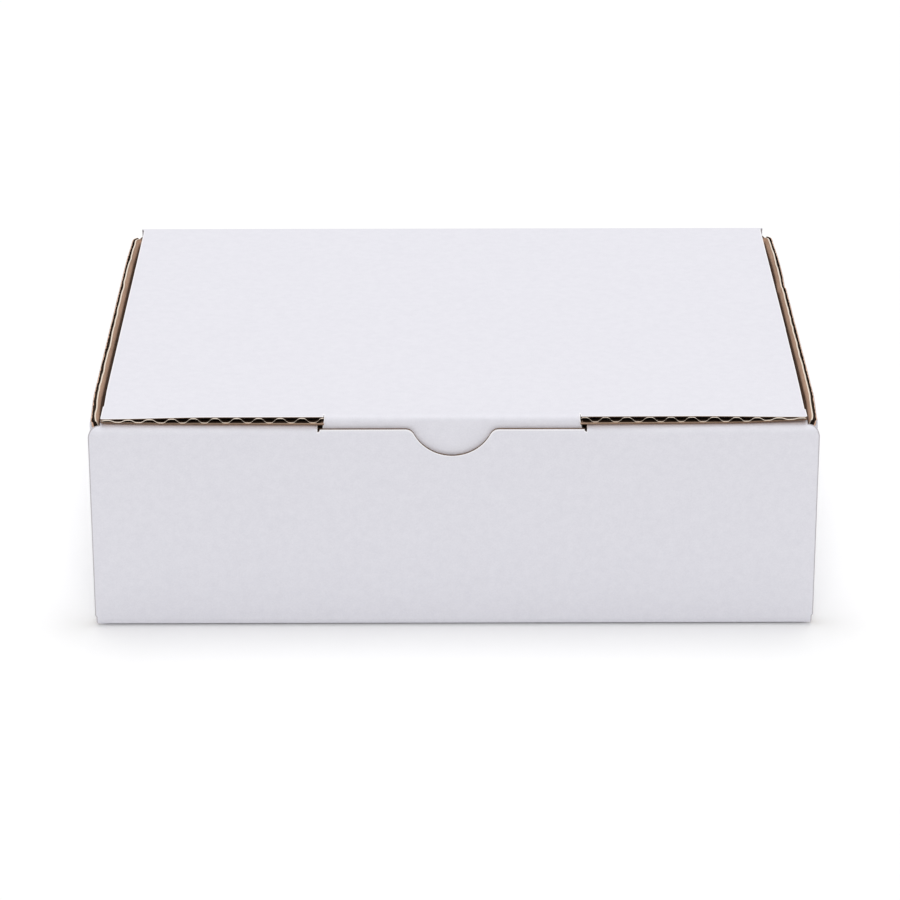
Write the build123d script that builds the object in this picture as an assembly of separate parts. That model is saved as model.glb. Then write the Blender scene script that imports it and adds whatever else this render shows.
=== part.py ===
"""Roll-over-front mailer box folded from one die-cut blank of single-wall corrugated board.

Frame: millimetres, +Z up, the front faces -Y, and the origin is the centre of the underside.
Two nodes, because the lid is the one flap that opens by itself:
  tray  bottom, double rolled front, side walls with their corner flaps, and back wall
  lid   top panel with its tuck tab, joined to the back wall along the rear fold
"""
from build123d import *
from math import floor, hypot
import os

# ---- driving sizes ---------------------------------------------------------------------------
BOX_WIDTH = 221.6          # X, over the side walls
BOX_DEPTH = 181.0          # Y, over the front and back walls
WALL_HEIGHT = 65.6         # Z, from the underside to the top of the side walls and rolled front
BOARD = 2.6                # caliper of the board
FOLD_INNER = 0.2           # radius left inside a crease
ROLL_INNER = 0.3           # the same along the rolled front edge
LAYER_PLAY = 0.15          # play between folded layers that lie against each other
RUN_CLEARANCE = 0.3        # clearance between the lid and what it closes on

# lid and its tuck tab
LID_SIDE_CLEARANCE = 2.0   # between the lid's cut edge and the side wall's inner face
LID_SETBACK = 0.5          # the lid's front cut edge lies this far behind the front face
TAB_NECK_WIDTH = 76.8
TAB_FLARE = 1.0            # how much wider the tab is than its neck, each side
TAB_LENGTH = 16.5          # from the top of the lid to the tab's tip
TAB_CORNER_RADIUS = 6.0
TAB_FLARE_LENGTH = 7.5     # height over which the tab widens from its neck
TAB_SWING_CLEARANCE = 0.35 # between the tab and the slot's front edge, for the lid to swing out
TAB_TIP_CLEARANCE = 0.19   # between the tab's tip and the front's lining

# slot and thumb notch in the rolled front
SLOT_CLEARANCE = 1.05      # each side of the tab
SLOT_LINE_DROP = 1.0       # the slot's front cut edge below the crest of the roll
SLOT_EDGE = 1.04           # thickness of the board's crushed edge along the slot
CRUSH_HEIGHT = 7.6         # height over which the crushed edge grows back to full caliper
NOTCH_RADIUS = 13.0
NOTCH_DEPTH = 8.5          # below the slot line
NOTCH_LEAD_RADIUS = 2.8    # rounding where the notch runs into the slot line

# front, corner flaps and locking tabs
POCKET_PLAY = 0.9          # how much wider the front's pocket is than the board that fills it
PANEL_CORNER_RADIUS = 3.5  # upper corners of the front panel
FRONT_STEP = 0.8           # the front panel is this much narrower than the box, each side
BACK_STEP = 2.4            # and the back wall this much
BACK_CORNER_RADIUS = 2.2   # its upper corners, beside the lid
FRONT_FLAP_GAP = 17.5      # from the end of the slot to the end of the flap behind the front
REAR_FLAP_GAP = 104.0      # between the two flaps inside the back wall
LOCK_TAB_WIDTH = 24.0
LOCK_TAB_SPACING = 120.0   # between the two tabs' middles
LOCK_CLEARANCE = 0.25

# the board's own section, where a cut edge shows it
FLUTE_PITCH = 6.5
LINER = 0.3
MEDIUM = 0.25
FLUTE_TIP_RADIUS = 0.35
FLUTE_MARGIN = 1.2         # solid board left beside the outermost flutes
FOLD_CRUSH = 6.0           # the flutes are closed over this length at a fold
EDGE_GAP_START = 0.6       # the opened flute along a side wall's top, from the outer face
EDGE_GAP_WIDTH = 0.75
EDGE_GAP_DEPTH = 2.5
EDGE_LEAN_WIDTH = 0.8      # the inner liner leans out over the crushed edge
EDGE_LEAN_HEIGHT = 2.4

# ---- places worked out from them -------------------------------------------------------------
HALF_W, HALF_D = BOX_WIDTH / 2, BOX_DEPTH / 2
MID = BOARD / 2
FOLD_RADIUS = FOLD_INNER + MID                      # of the board's middle line at a crease
ROLL_RADIUS = ROLL_INNER + MID
ROLL_OUTER = ROLL_RADIUS + MID
LID_UNDER = WALL_HEIGHT + RUN_CLEARANCE
LID_TOP = LID_UNDER + BOARD
FRONT_INNER_FACE = -HALF_D + BOARD                  # back of the front's outer layer
LINING_FACE = FRONT_INNER_FACE + BOARD + POCKET_PLAY  # front of the front's inner layer
LINING_WIDTH = BOX_WIDTH - 2 * (BOARD + RUN_CLEARANCE)
LID_WIDTH = BOX_WIDTH - 2 * (BOARD + LID_SIDE_CLEARANCE)
FRONT_WIDTH = BOX_WIDTH - 2 * FRONT_STEP
BACK_WIDTH = BOX_WIDTH - 2 * BACK_STEP
TAB_WIDTH = TAB_NECK_WIDTH + 2 * TAB_FLARE
SLOT_LINE = WALL_HEIGHT - SLOT_LINE_DROP
SLOT_WIDTH = TAB_WIDTH + 2 * SLOT_CLEARANCE
SLOT_RISE = ROLL_OUTER - SLOT_LINE_DROP             # of the slot line above the roll's centre
SLOT_FACE = -HALF_D + ROLL_OUTER - (ROLL_OUTER ** 2 - SLOT_RISE ** 2) ** 0.5
TAB_FACE = SLOT_FACE + SLOT_EDGE + TAB_SWING_CLEARANCE
TAB_TIP = LID_TOP - TAB_LENGTH
# how far the tab leans inward for each mm of drop, from the slot line to its tip
TAB_SLOPE = (LINING_FACE - TAB_TIP_CLEARANCE - BOARD - TAB_FACE) / (SLOT_LINE - TAB_TIP)
FAR = 4 * BOARD                                     # a cutter's reach past what it cuts


def block(x0, x1, y0, y1, z0, z1):
    """A box between two corners."""
    size = (x1 - x0, y1 - y0, z1 - z0)
    return Pos((x0 + x1) / 2, (y0 + y1) / 2, (z0 + z1) / 2) * Box(*size)


def folded(points, radii, thickness=BOARD):
    """The section of a board folded along a line of points, with a radius at each crease."""
    path = FilletPolyline(*points, radius=radii) if radii else Polyline(*points)
    return trace(path, line_width=thickness)


def across(section, width):
    """A section in (y, z) run out evenly to both sides, along X."""
    return extrude(Plane.YZ * section, amount=width / 2, both=True)


def outline(points, y0, y1):
    """A closed outline in (x, z) made into a cutter from y0 to y1."""
    face = make_face(Polyline(*points, close=True))
    return Pos(0, y1, 0) * extrude(Plane.XZ * face, amount=y1 - y0)


def mirrored(solid):
    """A solid and its mirror image in the middle plane X = 0."""
    return solid + mirror(solid, about=Plane.YZ)


# ---- tray ------------------------------------------------------------------------------------
def wall_strip():
    """Back wall, bottom, front and its rolled-over lining: one strip of the blank."""
    back, front = HALF_D - MID, -HALF_D + MID
    points = [
        (HALF_D - FAR, LID_UNDER + MID),
        (back, LID_UNDER + MID),
        (back, MID),
        (front, MID),
        (front, WALL_HEIGHT - MID),
        (LINING_FACE + MID, WALL_HEIGHT - MID),
        (LINING_FACE + MID, BOARD + LAYER_PLAY),
    ]
    radii = [FOLD_RADIUS] * 3 + [ROLL_RADIUS] * 2
    strip = across(folded(points, radii), BOX_WIDTH) - above_rear_mitre()
    far_x, far_y = HALF_W + FAR, HALF_D + FAR
    flap_base = BOARD + LAYER_PLAY
    # the lining and the roll stop between the side walls; the front and back panels step in
    trims = block(LINING_WIDTH / 2, far_x, FRONT_INNER_FACE, -HALF_D + FAR, flap_base, LID_TOP)
    trims += block(FRONT_WIDTH / 2, far_x, -far_y, FRONT_INNER_FACE, -FAR, LID_TOP)
    trims += block(BACK_WIDTH / 2, far_x, HALF_D - BOARD, far_y, -FAR, LID_TOP + FAR)
    trims += panel_corner(FRONT_WIDTH / 2, WALL_HEIGHT, PANEL_CORNER_RADIUS, -far_y, FRONT_INNER_FACE)
    trims += panel_corner(BACK_WIDTH / 2, LID_TOP, BACK_CORNER_RADIUS, HALF_D - FAR, far_y)
    return strip - mirrored(trims)


def panel_corner(side, top, radius, y0, y1):
    """What is cut away to round a panel's upper right-hand corner, from y0 to y1."""
    x, z = side - radius, top - radius
    square = block(x, side + FAR, y0, y1, z, top + FAR)
    return square - Pos(x, (y0 + y1) / 2, z) * Cylinder(radius, y1 - y0, rotation=(90, 0, 0))


def rear_mitre(offset):
    """Everything on the lid's side of the rear fold's 45 degree mitre, moved by an offset."""
    shift = offset * 2 ** 0.5
    corner = (HALF_D, LID_TOP + shift)
    inner = (HALF_D - 2 * FAR, LID_TOP + shift - 2 * FAR)
    points = [
        (corner[0] + FAR, corner[1] + FAR),
        inner,
        (-BOX_DEPTH, inner[1]),
        (-BOX_DEPTH, corner[1] + FAR),
    ]
    return across(make_face(Polyline(*points, close=True)), BOX_WIDTH + 2 * FAR)


def above_rear_mitre():
    """The lid's side of the mitre around the rear fold, less half the fold's clearance."""
    near_fold = block(-HALF_W - FAR, HALF_W + FAR, HALF_D - 3 * FAR, HALF_D + FAR,
                      LID_UNDER - 2 * BOARD, LID_TOP + FAR)
    return rear_mitre(-RUN_CLEARANCE / 2) & near_fold


def side_wall():
    """The right-hand wall with the corner flaps that tuck behind the front and back walls."""
    x = HALF_W - MID
    y_front = FRONT_INNER_FACE + LAYER_PLAY + MID
    y_back = HALF_D - BOARD - LAYER_PLAY - MID
    flap_base = BOARD + 2 * LAYER_PLAY
    points = [
        (SLOT_WIDTH / 2 + FRONT_FLAP_GAP, y_front),
        (x, y_front),
        (x, y_back),
        (REAR_FLAP_GAP / 2, y_back),
    ]
    plan = folded(points, [FOLD_RADIUS] * 2)
    walls = Pos(0, 0, flap_base) * extrude(plan, amount=WALL_HEIGHT - flap_base)
    # the front flap passes under the roll
    walls -= block(0, LINING_WIDTH / 2 + LAYER_PLAY, -HALF_D, 0,
                   WALL_HEIGHT - BOARD - 2 * LAYER_PLAY, LID_TOP)
    bend = FOLD_RADIUS + MID
    foot = block(HALF_W - BOARD, HALF_W, y_front + bend - MID, y_back - bend + MID,
                 MID, flap_base)
    return walls + foot - opened_flute()


def side_crease():
    """What is cut away to round the crease between the bottom and the right-hand wall."""
    bend = FOLD_RADIUS + MID
    length = BOX_DEPTH - 2 * BOARD
    square = block(HALF_W - bend, HALF_W + FAR, -length / 2, length / 2, -FAR, bend)
    return square - Pos(HALF_W - bend, 0, bend) * Cylinder(bend, length, rotation=(90, 0, 0))


def opened_flute():
    """The flute laid open along a side wall's top edge, and the inner liner's lean over it."""
    length = BOX_DEPTH - 4 * BOARD
    gap = block(HALF_W - EDGE_GAP_START - EDGE_GAP_WIDTH, HALF_W - EDGE_GAP_START,
                -length / 2, length / 2, WALL_HEIGHT - EDGE_GAP_DEPTH, LID_TOP)
    inner = HALF_W - BOARD
    lean = [
        (inner - LAYER_PLAY, WALL_HEIGHT - EDGE_LEAN_HEIGHT),
        (inner, WALL_HEIGHT - EDGE_LEAN_HEIGHT),
        (inner + EDGE_LEAN_WIDTH, WALL_HEIGHT),
        (inner + EDGE_LEAN_WIDTH, LID_TOP),
        (inner - LAYER_PLAY, LID_TOP),
    ]
    return gap + outline(lean, -length / 2, length / 2)


def slot_and_notch():
    """The slot for the lid's tab, its crushed front edge, and the thumb notch."""
    half = SLOT_WIDTH / 2
    over = block(-half, half, -HALF_D - FAR, LINING_FACE, SLOT_LINE, LID_TOP)
    mouth = block(-half, half, FRONT_INNER_FACE, LINING_FACE, SLOT_LINE - CRUSH_HEIGHT, LID_TOP)
    crush = [
        (SLOT_FACE + SLOT_EDGE, SLOT_LINE),
        (FRONT_INNER_FACE, SLOT_LINE - CRUSH_HEIGHT),
        (FRONT_INNER_FACE, SLOT_LINE),
    ]
    bevel = across(make_face(Polyline(*crush, close=True)), SLOT_WIDTH)
    return over + mouth + bevel + thumb_notch()


def thumb_notch():
    """A round notch with eased shoulders, cut through the outer layer only."""
    centre = SLOT_LINE - NOTCH_DEPTH + NOTCH_RADIUS
    arc = outline_disc(0, centre, NOTCH_RADIUS)
    arc -= block(-BOX_WIDTH, BOX_WIDTH, -BOX_DEPTH, BOX_DEPTH, SLOT_LINE, centre + BOX_WIDTH)
    # the easing circle is tangent to the slot line and to the notch, from below and outside
    ease = NOTCH_LEAD_RADIUS
    drop = centre - (SLOT_LINE - ease)
    run = ((NOTCH_RADIUS + ease) ** 2 - drop ** 2) ** 0.5
    touch = NOTCH_RADIUS / (NOTCH_RADIUS + ease)
    wedge = outline(
        [
            (0, SLOT_LINE),
            (run, SLOT_LINE),
            (run, SLOT_LINE - ease),
            (run * touch, centre - drop * touch),
            (0, centre - drop * touch),
        ],
        -HALF_D - FAR,
        FRONT_INNER_FACE + LAYER_PLAY,
    )
    shoulder = wedge - outline_disc(run, SLOT_LINE - ease, ease)
    return arc + mirrored(shoulder)


def outline_disc(x, z, radius):
    """A round cutter through the front's outer layer."""
    reach = BOARD + FAR + LAYER_PLAY
    return Pos(x, FRONT_INNER_FACE + LAYER_PLAY - reach / 2, z) * Cylinder(
        radius, reach, rotation=(90, 0, 0))


def lock_tabs(clearance):
    """The two tongues under the lining that hold it in the bottom, or with clearance their slots."""
    tongues = Part()
    for side in (-1, 1):
        x = side * LOCK_TAB_SPACING / 2
        half = LOCK_TAB_WIDTH / 2 + clearance
        y0, y1 = LINING_FACE - clearance, LINING_FACE + BOARD + clearance
        z0 = -BOARD if clearance else LAYER_PLAY
        tongues += block(x - half, x + half, y0, y1, z0, BOARD + 2 * LAYER_PLAY)
    return tongues


def make_tray():
    """All that stands still: one folded solid."""
    tray = wall_strip() + mirrored(side_wall())
    tray -= slot_and_notch()
    tray -= lock_tabs(LOCK_CLEARANCE) & block(-HALF_W, HALF_W, -HALF_D, 0, -BOARD, BOARD)
    return tray + lock_tabs(0) - mirrored(side_crease())


# ---- lid -------------------------------------------------------------------------------------
def flute_channels():
    """The open channels between the liners and the medium, out to both sides of the neck."""
    low, high = LID_UNDER + LINER, LID_TOP - LINER
    # a flank runs from one liner to the other in half a pitch, less the medium's own thickness
    rise = high - low - MEDIUM
    flank = hypot(FLUTE_PITCH / 2, rise)
    half_base = FLUTE_PITCH / 2 - MEDIUM / 2 * flank / rise
    first, last = TAB_NECK_WIDTH / 2 + FLUTE_MARGIN, LID_WIDTH / 2 - FLUTE_MARGIN
    count = floor((last - first) / FLUTE_PITCH)
    start = last - FLUTE_PITCH / 2 - (count - 1) * FLUTE_PITCH
    channels = Sketch()
    for i in range(count):
        x = start + i * FLUTE_PITCH
        channels += channel(x, high, low + MEDIUM, half_base)
        if i < count - 1:
            channels += channel(x + FLUTE_PITCH / 2, low, high - MEDIUM, half_base)
    length = BOX_DEPTH - LID_SETBACK - FOLD_CRUSH + FAR
    cutters = extrude(Plane.XZ * channels, amount=length)
    return mirrored(Pos(0, HALF_D - FOLD_CRUSH, 0) * cutters)


def channel(x, base, tip, half_base):
    """One channel's section in (x, z): a triangle on a liner, rounded where the medium turns."""
    face = make_face(Polyline((x - half_base, base), (x + half_base, base), (x, tip), close=True))
    return fillet(face.vertices().sort_by(Axis.X)[1], FLUTE_TIP_RADIUS)


def make_lid():
    """The lid's panel with its half of the rear fold, and the tuck tab."""
    rear = [
        (-HALF_D + LID_SETBACK, LID_UNDER + MID),
        (HALF_D - MID, LID_UNDER + MID),
        (HALF_D - MID, LID_UNDER - FAR),
    ]
    panel = across(folded(rear, [FOLD_RADIUS]), LID_WIDTH) & rear_mitre(RUN_CLEARANCE / 2)
    panel -= flute_channels()

    # the tab hangs from its own fold, a little behind the lid's cut edge
    lid_mid = LID_UNDER + MID
    knee_y = TAB_FACE + MID * hypot(1, TAB_SLOPE) - TAB_SLOPE * (lid_mid - SLOT_LINE)
    root_y = knee_y + 2 * ROLL_OUTER
    below_tip = TAB_TIP - BOARD
    bend = [
        (root_y, lid_mid),
        (knee_y, lid_mid),
        (knee_y + TAB_SLOPE * (lid_mid - below_tip), below_tip),
    ]
    neck, wide = TAB_NECK_WIDTH / 2, TAB_WIDTH / 2
    shape = make_face(Polyline(
        (-neck, LID_TOP + FAR), (neck, LID_TOP + FAR), (neck, LID_TOP),
        (wide, LID_TOP - TAB_FLARE_LENGTH), (wide, TAB_TIP),
        (-wide, TAB_TIP), (-wide, LID_TOP - TAB_FLARE_LENGTH), (-neck, LID_TOP),
        close=True))
    shape = fillet(shape.vertices().sort_by(Axis.Y)[:2], TAB_CORNER_RADIUS)
    shape = Pos(0, root_y, 0) * extrude(Plane.XZ * shape, amount=4 * FAR)
    tab = across(folded(bend, [ROLL_RADIUS]), TAB_WIDTH) & shape

    panel -= block(-neck, neck, -HALF_D - FAR, root_y, LID_UNDER - BOARD, LID_TOP + BOARD)
    return panel + tab


os.makedirs("parts", exist_ok=True)
export_step(make_tray(), "parts/tray.step")
export_step(make_lid(), "parts/lid.step")
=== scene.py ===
"""Looks of a corrugated mailer box: white-lined board outside, brown kraft board inside.

The box is folded from one die-cut blank. Every piece here is cut from a flat outline, as the
blank is, and then folded into place, so cut edges, creases and liners fall where they really do.
Sizes are in millimetres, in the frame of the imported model, and meshes are written in metres.
"""

import logging
import math
from collections.abc import Callable, Sequence
from dataclasses import dataclass, field
from enum import Enum

import bpy
import numpy as np
from mathutils import Matrix, Vector, noise
from mathutils.geometry import delaunay_2d_cdt

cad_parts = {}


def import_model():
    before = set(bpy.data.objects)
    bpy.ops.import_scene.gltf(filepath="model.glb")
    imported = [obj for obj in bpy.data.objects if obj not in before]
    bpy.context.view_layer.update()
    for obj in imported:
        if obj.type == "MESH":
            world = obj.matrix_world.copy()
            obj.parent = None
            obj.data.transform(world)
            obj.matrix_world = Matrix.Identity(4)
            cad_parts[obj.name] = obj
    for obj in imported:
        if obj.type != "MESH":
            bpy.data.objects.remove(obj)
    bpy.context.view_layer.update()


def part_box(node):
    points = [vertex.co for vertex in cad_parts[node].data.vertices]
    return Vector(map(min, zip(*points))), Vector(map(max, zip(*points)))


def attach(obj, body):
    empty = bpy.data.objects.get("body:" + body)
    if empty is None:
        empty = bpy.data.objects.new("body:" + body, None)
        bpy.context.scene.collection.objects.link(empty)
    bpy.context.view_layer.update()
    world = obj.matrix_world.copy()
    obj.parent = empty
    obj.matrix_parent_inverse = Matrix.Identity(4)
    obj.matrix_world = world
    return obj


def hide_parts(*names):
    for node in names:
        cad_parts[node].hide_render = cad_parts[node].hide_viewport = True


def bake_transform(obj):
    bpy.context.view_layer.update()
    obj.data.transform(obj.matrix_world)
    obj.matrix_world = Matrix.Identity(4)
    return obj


LOG = logging.getLogger("mailer_box")
MM = 0.001

Point2 = tuple[float, float]
Point3 = tuple[float, float, float]
Loop = list[Point2]


def smooth(low: float, high: float, value: float) -> float:
    """Ease from 0 at low to 1 at high.

    Args:
        low: the value at which the result leaves 0.
        high: the value at which the result reaches 1.
        value: where to evaluate.

    Returns:
        A number from 0 to 1.
    """
    t = min(max((value - low) / (high - low), 0.0), 1.0)
    return t * t * (3 - 2 * t)


def ripple(x: float, y: float, scale: float, seed: float) -> float:
    """Fixed smooth noise, the same on every run.

    Args:
        x: first coordinate in mm.
        y: second coordinate in mm.
        scale: size of the noise's features in mm.
        seed: offset that gives each use its own pattern.

    Returns:
        A number from about -1 to 1.
    """
    return noise.noise(Vector((x / scale, y / scale, seed)))


def spaced(start: float, stop: float, step: float) -> list[float]:
    """Evenly spaced values, no further apart than a step, both ends included.

    Args:
        start: the first value.
        stop: the last value.
        step: the widest spacing allowed.

    Returns:
        The values.
    """
    count = max(1, math.ceil(abs(stop - start) / step))
    return [start + (stop - start) * i / count for i in range(count + 1)]


# ---- sizes -----------------------------------------------------------------------------------
@dataclass(frozen=True)
class Board:
    """Single-wall B flute board."""

    caliper: float = 2.6
    liner: float = 0.3
    medium: float = 0.26
    flute_pitch: float = 6.52
    crease_radius: float = 1.5
    roll_radius: float = 1.6
    toe_radius: float = 0.5

    @property
    def mid(self) -> float:
        """Half the caliper."""
        return self.caliper / 2


@dataclass(frozen=True)
class BoxSizes:
    """The box's own sizes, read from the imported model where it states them."""

    half_width: float
    half_depth: float
    lid_half: float
    lid_top: float
    tab_tip: float
    board: Board = field(default_factory=Board)
    lid_clearance: float = 0.3
    front_step: float = 0.8
    back_step: float = 2.4
    lid_setback: float = 0.5
    roll_end_step: float = 4.0
    pocket: float = 3.5
    slot_drop: float = 1.0
    slot_edge: float = 1.04
    slot_half: float = 40.5
    neck_half: float = 38.5
    tab_half: float = 39.4
    opening_offset: float = -0.5
    notch_radius: float = 13.0
    notch_depth: float = 8.5
    notch_lead: float = 2.8

    @classmethod
    def from_frame(cls) -> "BoxSizes":
        """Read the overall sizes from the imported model.

        Returns:
            The sizes, in mm.
        """
        _, tray_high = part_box("tray")
        lid_low, lid_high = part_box("lid")
        return cls(
            half_width=tray_high.x / MM,
            half_depth=tray_high.y / MM,
            lid_half=lid_high.x / MM,
            lid_top=lid_high.z / MM,
            tab_tip=lid_low.z / MM,
        )

    @property
    def wall_height(self) -> float:
        """Top of the side walls."""
        return self.lid_top - self.board.caliper - self.lid_clearance

    @property
    def roll_top(self) -> float:
        """Top of the rolled front, just under the lid."""
        return self.wall_height + 0.2

    @property
    def lid_mid(self) -> float:
        """Height of the lid board's middle."""
        return self.lid_top - self.board.mid

    @property
    def lining_mid(self) -> float:
        """Y of the lining board's middle."""
        return -self.half_depth + self.board.caliper * 1.5 + self.pocket

    @property
    def slot_line(self) -> float:
        """Height of the slot's front cut edge."""
        return self.roll_top - self.slot_drop

    @property
    def roll_outer(self) -> float:
        """Outer radius of the rolled front edge."""
        return self.board.roll_radius + self.board.mid


# ---- folding ---------------------------------------------------------------------------------
@dataclass
class FoldPath:
    """Straight runs of board joined by round creases, along the middle of the board.

    Distances along the path are those of the flat blank. The board's outer face is to the left
    of the path, or to the right where outer_side is -1.
    """

    corners: Sequence[Point2]
    radii: Sequence[float]
    outer_side: float = 1.0

    def __post_init__(self) -> None:
        """Work out where each run and crease starts."""
        points = [Vector(p) for p in self.corners]
        radii = [0.0, *self.radii, 0.0]
        self.parts: list[tuple] = []
        self.creases: list[Point2] = []
        at = 0.0
        for i in range(len(points) - 1):
            run = points[i + 1] - points[i]
            way = run.normalized()
            start = points[i] + way * radii[i]
            length = run.length - radii[i] - radii[i + 1]
            self.parts.append((at, at + length, start, way, 0.0, 0.0))
            at += length
            if i + 2 < len(points):
                after = (points[i + 2] - points[i + 1]).normalized()
                turn = math.atan2(way.x * after.y - way.y * after.x, way.dot(after))
                radius = radii[i + 1]
                arc = radius * abs(turn)
                self.parts.append((at, at + arc, start + way * length, way, turn, radius))
                self.creases.append((at, at + arc))
                at += arc
        self.length = at

    def at(self, s: float) -> tuple[Vector, Vector]:
        """A point of the middle line and the direction of the outer face there.

        Args:
            s: distance along the flat blank.

        Returns:
            The point and the outward direction.
        """
        part = next((p for p in self.parts if s <= p[1]), self.parts[-1])
        begin, end, start, way, turn, radius = part
        left = Vector((-way.y, way.x))
        if not radius:
            return start + way * (s - begin), left * self.outer_side
        sign = math.copysign(1.0, turn)
        angle = turn * (s - begin) / (end - begin)
        centre = start + left * radius * sign
        turned = Vector((
            left.x * math.cos(angle) - left.y * math.sin(angle),
            left.x * math.sin(angle) + left.y * math.cos(angle),
        ))
        return centre - turned * radius * sign, turned * self.outer_side

    def stations(self, run_step: float, crease_step: float) -> list[float]:
        """Distances for a grid that is fine in the creases and coarse between them.

        Args:
            run_step: the widest spacing on a straight run.
            crease_step: the widest spacing in a crease.

        Returns:
            The distances, in order.
        """
        found: list[float] = []
        for begin, end, *_, radius in self.parts:
            found += spaced(begin, end, crease_step if radius else run_step)[:-1]
        return [*found, self.length]


def distances(points: np.ndarray, loops: Sequence[Loop]) -> np.ndarray:
    """How far each point lies from the nearest stretch of some outlines.

    Args:
        points: an array of flat points.
        loops: the closed outlines.

    Returns:
        One distance for each point.
    """
    best = np.full(len(points), np.inf)
    for loop in loops:
        a = np.array(loop, float)
        for start, stop in zip(a, np.roll(a, -1, axis=0)):
            run = stop - start
            reach = max(float(run @ run), 1e-12)
            t = np.clip((points - start) @ run / reach, 0, 1)
            gap = np.hypot(*(points - start - t[:, None] * run).T)
            np.minimum(best, gap, out=best)
    return best


def inside(points: np.ndarray, loops: Sequence[Loop]) -> np.ndarray:
    """Whether each point lies in the first outline and in none of its holes.

    Args:
        points: an array of flat points.
        loops: the outline, then its holes.

    Returns:
        One truth value for each point.
    """
    odd = np.zeros(len(points), bool)
    for loop in loops:
        a = np.array(loop, float)
        for (x0, y0), (x1, y1) in zip(a, np.roll(a, -1, axis=0)):
            if y0 == y1:
                continue
            crosses = (points[:, 1] > y0) != (points[:, 1] > y1)
            odd ^= crosses & (points[:, 0] < (x1 - x0) * (points[:, 1] - y0) / (y1 - y0) + x0)
    return odd


def refine(loop: Loop, step: float) -> Loop:
    """An outline with no stretch longer than a step.

    Args:
        loop: the closed outline.
        step: the longest stretch allowed.

    Returns:
        The outline with more points.
    """
    out: Loop = []
    for (x0, y0), (x1, y1) in zip(loop, [*loop[1:], loop[0]]):
        count = max(1, math.ceil(math.hypot(x1 - x0, y1 - y0) / step))
        out += [(x0 + (x1 - x0) * i / count, y0 + (y1 - y0) * i / count) for i in range(count)]
    return out


def arc(cx: float, cy: float, radius: float, start: float, stop: float, count: int) -> Loop:
    """Points along a round stretch.

    Args:
        cx: the centre's first coordinate.
        cy: the centre's second coordinate.
        radius: the radius.
        start: the first angle, in degrees.
        stop: the last angle, in degrees.
        count: how many points.

    Returns:
        The points, both ends included.
    """
    angles = [math.radians(start + (stop - start) * i / (count - 1)) for i in range(count)]
    return [(cx + radius * math.cos(a), cy + radius * math.sin(a)) for a in angles]


class Face(Enum):
    """The faces of a cut piece of board, in the order of its material slots."""

    OUTER = 0
    INNER = 1
    CUT = 2
    RIM = 3
    WORN = 4


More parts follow.
